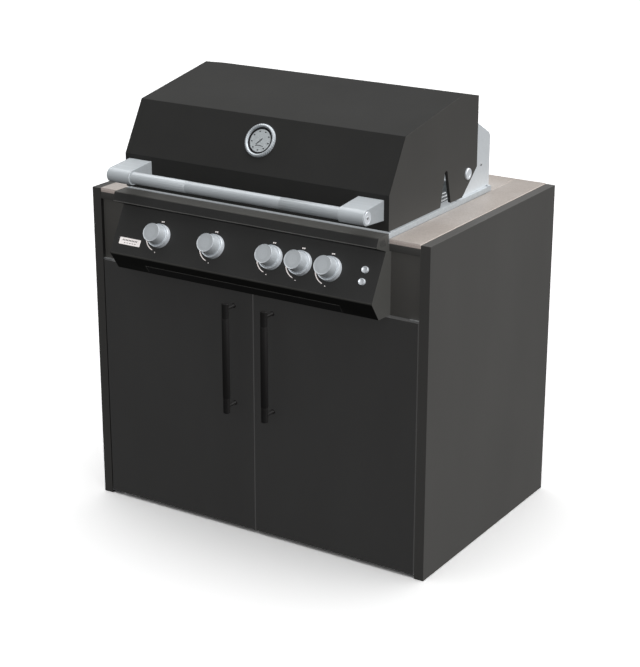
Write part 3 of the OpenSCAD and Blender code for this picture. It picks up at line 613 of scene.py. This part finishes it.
# The caps' faces to the sides keep a lighter tone, painted light; their edge faces take the panel's paint,
# and below the fold its painted shade.
tint(caps, "panelPaint", lambda c, n: (np.abs(n[:, 0]) < 0.5) & (c[:, 2] > 757))
tint(caps, "panelShade", lambda c, n: (np.abs(n[:, 0]) < 0.5) & (c[:, 2] <= 757))
hatch = {"x": (409.98, 410.12), "from": -45.0, "pitch": 5.4, "count": 5, "width": 2.0, "z": (897.0, 914.0),
         "lean": 6.0}
slots = []
for i in range(hatch["count"]):
    y, (z0, z1), w, lean = hatch["from"] + i * hatch["pitch"], hatch["z"], hatch["width"], hatch["lean"]
    slots.append(acrossX([(y + lean, z0), (y + lean + w, z0), (y + w, z1), (y, z1)], *hatch["x"]))
piece("capHatch", slots + [mirrored(p) for p in slots], "cabinet", "panelPaint")
badge = {"x": -354.9, "s": 33.9, "half": (34.5, 9.5), "corner": 2.0, "thick": 1.3}
badgeAt = onPanel(badge["x"], badge["s"])
wide, high = badge["half"]
badgeLoop = roundedLoop(-wide, wide, -high, high, badge["corner"])
piece("badgePlate", [raised(badgeLoop, 0, badge["thick"], badgeAt)], "cabinet", "badgePlate", ["badge"],
      bevel=0.4)
# Each row of bars: its height on the plate, how many, the first one's place, pitch, width and height.
inkBars = {"lift": (1.28, 1.38), "top": (3.2, 10, -24.0, 5.0, 3.0, 4.2),
           "low": (-4.2, 5, -18.0, 8.6, 5.2, 1.6)}
bars = []
for v, count, first, pitch, width, tall in (inkBars["top"], inkBars["low"]):
    for i in range(count):
        u = first + i * pitch
        loop = roundedLoop(u, u + width, v - tall / 2, v + tall / 2, 0.6, 2)
        bars.append(raised(loop, *inkBars["lift"], badgeAt))
piece("badgeBars", bars, "cabinet", "badgeInk")
# The thin bead along the tray's top edge has a lighter tone, a painted highlight.
bead = {"half": 305.4, "y": -60.0, "z": 734.1, "radius": 0.55}
beadTurn = np.linspace(0, 2 * math.pi, 12, endpoint=False)
beadLoop = (np.array([bead["y"], bead["z"]])
            + bead["radius"] * np.stack([np.cos(beadTurn), np.sin(beadTurn)], axis=1))
piece("trayBeadHighlight", [acrossX(beadLoop, -bead["half"], bead["half"])], "tray", "trayBeadHighlight")
# The tray is near black, partly its dark enamel and partly painted shade like the return face.
dress("grease_tray", "trayShadedEnamel", 0.25)
print("control panel is folded")

knob = {"x": (-264.4, -89.5, 91.7, 180.7, 269.3), "s": 64.0, "skirt": 29.8, "foot": 28.0, "face": 25.2,
        "height": 44.5, "shoulder": 13.6, "count": 144, "notch": 107.0, "notchSpan": 7.0, "ribs": 96}
skirt, face, tall = knob["skirt"], knob["face"], knob["height"]
waist = np.linspace(0, 1, 9)  # the side draws in from the foot to the face
waistR = face + (knob["foot"] - face) * (1 - waist) ** 1.5
waistH = knob["shoulder"] + (tall - 5.5 - knob["shoulder"]) * waist
knobProfile = np.array([(0, 9.0), (skirt - 0.5, 9.0), (skirt, 9.5), (skirt, 12.6), (skirt - 0.6, 13.2)]
                       + list(zip(waistR, waistH))
                       + [(face, tall - 1.0), (face - 0.3, tall - 0.35), (face - 1.0, tall),
                          (face - 1.8, tall - 0.25), (face - 2.4, tall - 0.7), (0, tall - 0.8)])
turn = np.linspace(0, 2 * math.pi, knob["count"], endpoint=False)
away = np.degrees(np.abs(np.angle(np.exp(1j * (turn - math.radians(knob["notch"]))))))
dent = np.clip(1 - away / knob["notchSpan"], 0, 1) ** 0.5
rows = (knobProfile[:, 0] > skirt - 2) & (knobProfile[:, 1] < 13.5)  # only the skirt is dented
knobRipple = -2.0 * rows[:, None] * dent[None]
bezelProfile = np.array([(30.3, 0), (32.2, 0), (32.5, 0.4), (32.5, 2), (32.5, 7), (32.2, 8), (31.9, 9),
                         (31.5, 13.6), (31.2, 14), (30.6, 14), (30.3, 13.7)])
bezelTurn = np.linspace(0, 2 * math.pi, knob["ribs"] * 4, endpoint=False)
bezelRipple = (-0.55 * np.isin(np.arange(len(bezelProfile)), (3, 4))[:, None]
               * (0.5 - 0.5 * np.cos(knob["ribs"] * bezelTurn))[None])
bezels = [lathe(bezelProfile, onPanel(x, knob["s"]), len(bezelTurn), ring=True, ripple=bezelRipple)
          for x in knob["x"]]
piece("knobBezels", bezels, "cabinet", "bezelSteel", ["knob_bezels"], angle=50)
for i, x in enumerate(knob["x"], 1):
    piece("knob%d" % i, [lathe(knobProfile, onPanel(x, knob["s"]), knob["count"], ripple=knobRipple)],
          "dial_%d" % i, "knobMetal", ["knob_%d" % i], angle=28)
    dress("valve_stem_%d" % i, "zincFitting")


# A printed arc: between two angles the radius and the width run evenly from one value to the other.
def arcMark(x, r0, r1, a0, a1, w0, w1, steps=24):
    t = np.linspace(0, 1, steps)[:, None]
    turn = np.radians(a0 + (a1 - a0) * t)
    radius = r0 + (r1 - r0) * t
    width = w0 + (w1 - w0) * t
    corner = np.array([(-0.5, 0.0), (0.5, 0.0), (0.5, 0.16), (-0.5, 0.16)])
    reach = radius + width * corner[None, :, 0]
    lift = np.broadcast_to(corner[None, :, 1], reach.shape)
    local = np.stack([reach * np.cos(turn), reach * np.sin(turn), lift], axis=-1)
    return gridPart(place(local, onPanel(x, knob["s"])), rims=True, local=local)


marks = []
for x in knob["x"]:
    marks.append(arcMark(x, 42.6, 41.6, -165, -108, 3.2, 2.2))
    marks.append(arcMark(x, 44.6, 44.6, -95.5, -92.0, 2.2, 2.2, 4))
    for a in (87.4, 94.8):  # two short marks above the knob
        marks.append(arcMark(x, 40.0, 40.0, a, a + 5.6, 3.4, 3.4, 4))
piece("knobMarks", marks, "cabinet", "markPrint")
print("knobs are turned")

button = {"x": 368.0, "s": (78.6, 47.7), "radius": 8.8, "height": 7.0}
br, bh = button["radius"], button["height"]
dish = np.linspace(0, 1, 6)
buttonProfile = ([(0, -4), (br, -4), (br, bh - 0.8), (br - 0.25, bh - 0.25), (br - 0.9, bh)]
                 + [((br - 1.2) * (1 - t), bh - 0.1 - 1.1 * (1 - (1 - t) ** 2)) for t in dish])
stemProfile = [(0, -18), (4, -18), (4, -3.9), (0, -3.9)]
for i, (s, body) in enumerate(zip(button["s"], ("light_button", "spark_button")), 1):
    at = onPanel(button["x"], s)
    piece("button%d" % i, [lathe(buttonProfile, at, 64), lathe(stemProfile, at, 32)], body, "bezelSteel",
          ["button_%d" % i], angle=28)
dress("button_housing", "switchPlastic", 0.4)

lid = {"half": 409.0, "plate": 3.0, "sheet": 2.0, "bend": 3.0, "pivot": (407.0, 987.0),
       "notch": (290.5, 1012.0), "notchRadius": 7.5, "collar": 400.6}
lidPath = np.array([(0, 928), (0, 1019), (77, 1153), (374, 1205), (460, 1187)])
softLid = roundCorners(lidPath, lid["bend"], 5)
inLid = lid["half"] - lid["plate"]
piece("lidSkin", [skinX(softLid, np.linspace(inLid, -inLid, 3))], "lid", "lidPaint", ["lid_shell"],
      solid=lid["sheet"], closed=False)
notchArc = np.radians(np.linspace(-10, 190, 13))
notchTop = lid["notch"] + lid["notchRadius"] * np.stack([np.cos(notchArc), np.sin(notchArc)], axis=1)
lidTail = roundCorners([(460, 1187), (461, 996), (388, 933), (380, 928), (330, 928)], 2.0, 3)[1:-1]
lidOutline = np.concatenate([softLid, lidTail, [(319, 928)], notchTop, [(262.9, 928)]])
side = acrossX(lidOutline, inLid, lid["half"])
sides = piece("lidSides", [side, mirrored(side)], "lid", "lidSideLitPaint", ["lid_sides"], bevel=0.3)
# The side plates carry a lighter tone than the skin, painted light; their edge faces take the skin's darker
# paint, a painted shade along them.
tint(sides, "lidPaint", lambda c, n: np.abs(n[:, 0]) < 0.5)
collarLoop = np.concatenate([[(253, 928.4), (275, 1018), (283, 1025), (298, 1025), (306, 1018), (329, 928.4),
                              (319.2, 928.4)], notchTop, [(263, 928.4)]])
collar = acrossX(collarLoop, lid["collar"], inLid - 0.02)
piece("spitCollars", [collar, mirrored(collar)], "lid", "lidPaint", bevel=0.4)
print("lid is folded")

# The grip is cut by two sets of slanting waves that cross; pitch is a diamond's length, around their number.
tube = {"y": -80.0, "z": 980.0, "radius": 16.0, "half": 332.0, "grip": 147.0, "inner": 321.0, "outer": 395.0,
        "around": 16, "pitch": 6.2, "depth": 1.5, "nose": 20.0}
around = tube["around"] * 4
gripCount = int(round(2 * tube["grip"] / tube["pitch"]))
gripX = np.linspace(-tube["grip"], tube["grip"], gripCount * 4 + 1)
phi = np.linspace(0, 2 * math.pi, around, endpoint=False)
u = (gripX[:, None] + tube["grip"]) / tube["pitch"] / 2
v = tube["around"] * phi[None] / (2 * math.pi) / 2
crossed = np.abs(np.sin(2 * math.pi * (u + v)) * np.sin(2 * math.pi * (u - v)))
knurl = tube["radius"] - tube["depth"] + tube["depth"] * np.sqrt(crossed)
endX = np.array([-tube["half"], -tube["grip"] - 0.4])
allX = np.concatenate([endX, gripX, -endX[::-1]])
plain = np.full((2, around), tube["radius"])
allR = np.concatenate([plain, knurl, plain[::-1]])
tubeGrid = np.stack([np.broadcast_to(allX[:, None], allR.shape), tube["y"] + allR * np.cos(phi),
                     tube["z"] + allR * np.sin(phi)], axis=-1)
handleTube = piece("handleTube", [gridPart(tubeGrid, rims=True)], "lid", "tubeSteel", ["lid_handle_tube"],
                   angle=50)
bow = np.radians(np.linspace(86, 274, 25))
nose = np.array([tube["y"], tube["z"]]) + tube["nose"] * np.stack([np.cos(bow), np.sin(bow)], axis=1)
bracketLoop = np.concatenate([[(-0.2, 954), (-0.2, 1007)], nose])
bracket = acrossX(bracketLoop, tube["inner"], tube["outer"])
lidBrackets = piece("lidBrackets", [bracket, mirrored(bracket)], "lid", "handleMetal", ["lid_brackets"],
                    bevel=1.2, steps=3)
endDisc = [(0, 0), (15.6, 0), (16.4, 0.3), (16.4, 0.8), (15.8, 1.2), (14.6, 1.2), (14.2, 0.9), (0, 0.9)]
screwHead = [(0, 0.8), (3.6, 0.8), (3.6, 1.6), (3.1, 2.1), (1.7, 2.1), (1.6, 1.2), (0, 1.2)]
boltHead = [(0, 0), (5.8, 0), (5.8, 3.4), (5.2, 4), (0, 4)]  # six-sided, inside the lid
discs, screws = [], []
for way in (1, -1):
    at = alongX(way * tube["outer"], tube["y"], tube["z"], way)
    discs.append(lathe(endDisc, at, 72))
    screws.append(lathe(screwHead, at, 36))
    for x in (337, 379):
        screws.append(lathe(boltHead, alongY(way * x, 2, 980.5), 6))
piece("handleDiscs", discs, "lid", "bezelSteel", angle=30)
piece("handleScrews", screws, "lid", "zincFitting", ["lid_screws"], angle=30)
print("lid handle is turned")

dial = {"s": 88.0, "ropes": 44, "face": 30.9, "dark": (30.6, 36.4), "glass": 37.2, "marks": 9,
        "markRadius": 25.5, "firstMark": 109.0, "markStep": 40.0, "needle": 229.0, "caseShrink": 0.949}
dialAt = onLid(dial["s"])
caseProfile = np.array([(38.2, 1.0), (38.2, 5.4), (39.2, 7.4), (40.6, 8.5), (42.3, 9.0), (43.6, 8.6),
                        (44.2, 8.0), (45.2, 7.9), (46.4, 7.0), (47.0, 5.6), (47.0, 1.2), (46.2, 0.0),
                        (39, 0.0)])
caseProfile[:, 0] *= dial["caseShrink"]
caseTurn = np.linspace(0, 2 * math.pi, dial["ropes"] * 8, endpoint=False)
caseRow = np.arange(len(caseProfile))[:, None]
roped = np.isin(caseRow, (7, 8, 9))  # a rope pattern of slanting nicks runs round the rim
caseRipple = -1.0 * (roped & (np.cos(dial["ropes"] * caseTurn + 0.9 * caseRow) > 0.2))
piece("thermoCase", [lathe(caseProfile, dialAt, len(caseTurn), ring=True, ripple=caseRipple),
                     lathe([(0, 0.1), (38, 0.1), (38, 1.4), (0, 1.4)], dialAt, 72),
                     lathe([(0, -58), (2.6, -57.6), (3, -57), (3, 0), (0, 0)], dialAt, 32),
                     lathe([(0, -10), (9, -10), (9, -2.2), (0, -2.2)], dialAt, 6)],
      "lid", "caseSteel", ["thermo_case"], angle=30)
piece("thermoDial", [lathe([(0, 1.5), (dial["face"], 1.5), (dial["face"], 2.6), (0, 2.6)], dialAt, 96),
                     lathe([(0, 2.5), (1, 2.5), (1, 4.9), (0, 4.9)], dialAt, 16)], "lid", "dialFace",
      ["thermo_dial"], angle=30)
dark0, dark1 = dial["dark"]
darkProfile = [(dark0, 1.5), (dark1, 1.5), (dark1, 3.6), (dark0 + 1.2, 3.1), (dark0, 2.7)]
piece("thermoDarkRing", [lathe(darkProfile, dialAt, 96, ring=True)], "lid", "dialRing", angle=30)
ticks = []
for i in range(dial["marks"]):  # upright bars, all the same way up
    a = math.radians(dial["firstMark"] - dial["markStep"] * i)
    u, v = dial["markRadius"] * math.cos(a), dial["markRadius"] * math.sin(a)
    ticks.append(raised(roundedLoop(u - 2.4, u + 2.4, v - 1.5, v + 1.5, 0.4, 2), 2.58, 2.75, dialAt))
for i in range(7):  # a low row of plain bars that follows the dial's curve
    u = -10.5 + 3.5 * i
    v = -13.0 - 0.012 * u * u
    ticks.append(raised(roundedLoop(u - 1.4, u + 1.4, v - 1.0, v + 1.0, 0.3, 2), 2.58, 2.75, dialAt))
piece("thermoMarks", ticks, "lid", "dialRing")
a = math.radians(dial["needle"])
c, d = math.cos(a), math.sin(a)
ex, ey, ez = dialAt[1]
needleAt = frameAt(dialAt[0], c * ex + d * ey, c * ey - d * ex, ez)  # the dial's frame, turned
needleLoop = [(-8.5, -1.1), (0, -1.1), (15.5, -0.6), (15.5, 0.6), (0, 1.1), (-8.5, 1.1)]
hubProfile = [(1.06, 3.2), (1.9, 3.2), (1.9, 4.2), (1.6, 4.5), (1.06, 4.5)]
piece("thermoNeedle", [raised(needleLoop, 3.3, 4.0, needleAt), lathe(hubProfile, dialAt, 32, ring=True)],
      "needle", "needleBlack", ["thermo_needle"], angle=30)
rim = dial["glass"]
glassProfile = [(0, 5.6), (rim, 5.6), (rim, 6.4), (rim - 0.6, 6.6), (0, 6.6)]
piece("thermoGlass", [lathe(glassProfile, dialAt, 96)], "lid", "clearGlass", ["thermo_glass"], angle=30)
print("thermometer is set")

# The rim's section, inset from the cut-out's edge and height, is carried round a rounded rectangle.
rimSection = [(0, 910), (0, 923), (0.4, 923.7), (1.2, 924), (28.8, 924), (29.6, 923.7), (30, 923),
              (30, 921.4), (29.6, 921), (3, 921), (3, 910)]
loops = []
for inset, z in rimSection:
    loop = roundedLoop(inset - cut, cut - inset, inset * 0.8, cabinet["cutBack"] - inset * 0.8,
                       max(0.5, 5 - inset * 0.1), 5)
    loops.append(np.column_stack([loop, np.full(len(loop), z)]))
rimParts = [gridPart(np.stack(loops), wrapI=True)]
for y in (8, 352):  # pads that the lid's sides rest on
    pad = roundedBoard((402, y, 923.9), (410, y + 14, 927.6), 0.8, 2)
    rimParts += [pad, mirrored(pad)]
nub = lathe([(0, 0), (5.5, 0), (5.5, 2.4), (4.6, 3.4), (0, 3.8)], alongZ(404, 538, 923.9), 32)
rimParts += [nub, mirrored(nub)]
piece("rimFrame", rimParts, "cabinet", "rimSteel", ["rim_frame"])
dress("rear_housing", "hoodSteel", 0.4)
hoodScrew = lathe([(0, 0), (4.2, 0), (4.2, 1.0), (3.4, 1.9), (1.6, 1.9), (1.5, 1.0), (0, 1.0)],
                  alongX(400, 501, 991), 32)
piece("hoodScrews", [hoodScrew, mirrored(hoodScrew)], "cabinet", "zincFitting", angle=30)
py, pz = lid["pivot"]
capProfile = [(0, 0), (15.2, 0), (15.6, 0.4), (15.6, 3.4), (15.0, 4.4), (14.0, 5), (9, 5), (8.4, 4.5),
              (0, 4.5)]
pivot = [lathe(capProfile, alongX(lid["half"] + 0.5, py, pz), 64),
         lathe([(6, 0), (14, 0), (14, 5.5), (6, 5.5)], alongX(400, py, pz), 48, ring=True),
         lathe([(0, 0), (6, 0), (6, 15), (0, 15)], alongX(396, py, pz), 32)]
piece("lidPivots", pivot + [mirrored(p) for p in pivot], "cabinet", "bezelSteel", ["lid_pivots"], angle=30)

inside = {"firebox": "fireboxSteel", "support_rails": "zincFitting", "rear_burner": "burnerCase",
          "feed_tube": "copperTube", "burner_tubes": "grateSteel", "flame_tamers": "grateSteel",
          "grate_left": "grateSteel", "grate_middle": "grateSteel", "grate_right": "grateSteel",
          "warming_rack": "grateSteel", "electrodes": "whiteCeramic", "manifold_pipe": "zincFitting",
          "gas_valves": "valveBrass", "gas_inlet": "valveBrass", "tray_rails": "zincFitting"}
for name, finish in inside.items():
    dress(name, finish)
print("inner parts are dressed")

# Every lamp leaves the floor to the sky. The ones from the right leave out the left panel too, to keep its
# recess in shade. The lid bar and its brackets have one lamp of their own instead of the key and front ones.
barParts, leftPanel = [handleTube, lidBrackets], [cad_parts["side_panel_left"]]
skipped = {"keyLamp": barParts + leftPanel, "frontLamp": barParts, "sideLamp": leftPanel}
for sun in suns:
    listed = bpy.data.collections.new("listOf" + sun.name)
    only = sun.name == "barLamp"
    linked = barParts if only else [floor] + skipped.get(sun.name, [])
    for obj in linked:
        listed.objects.link(obj)
    for link in listed.collection_objects:
        link.light_linking.link_state = "INCLUDE" if only else "EXCLUDE"
    sun.light_linking.receiver_collection = listed
print("lamps are linked")
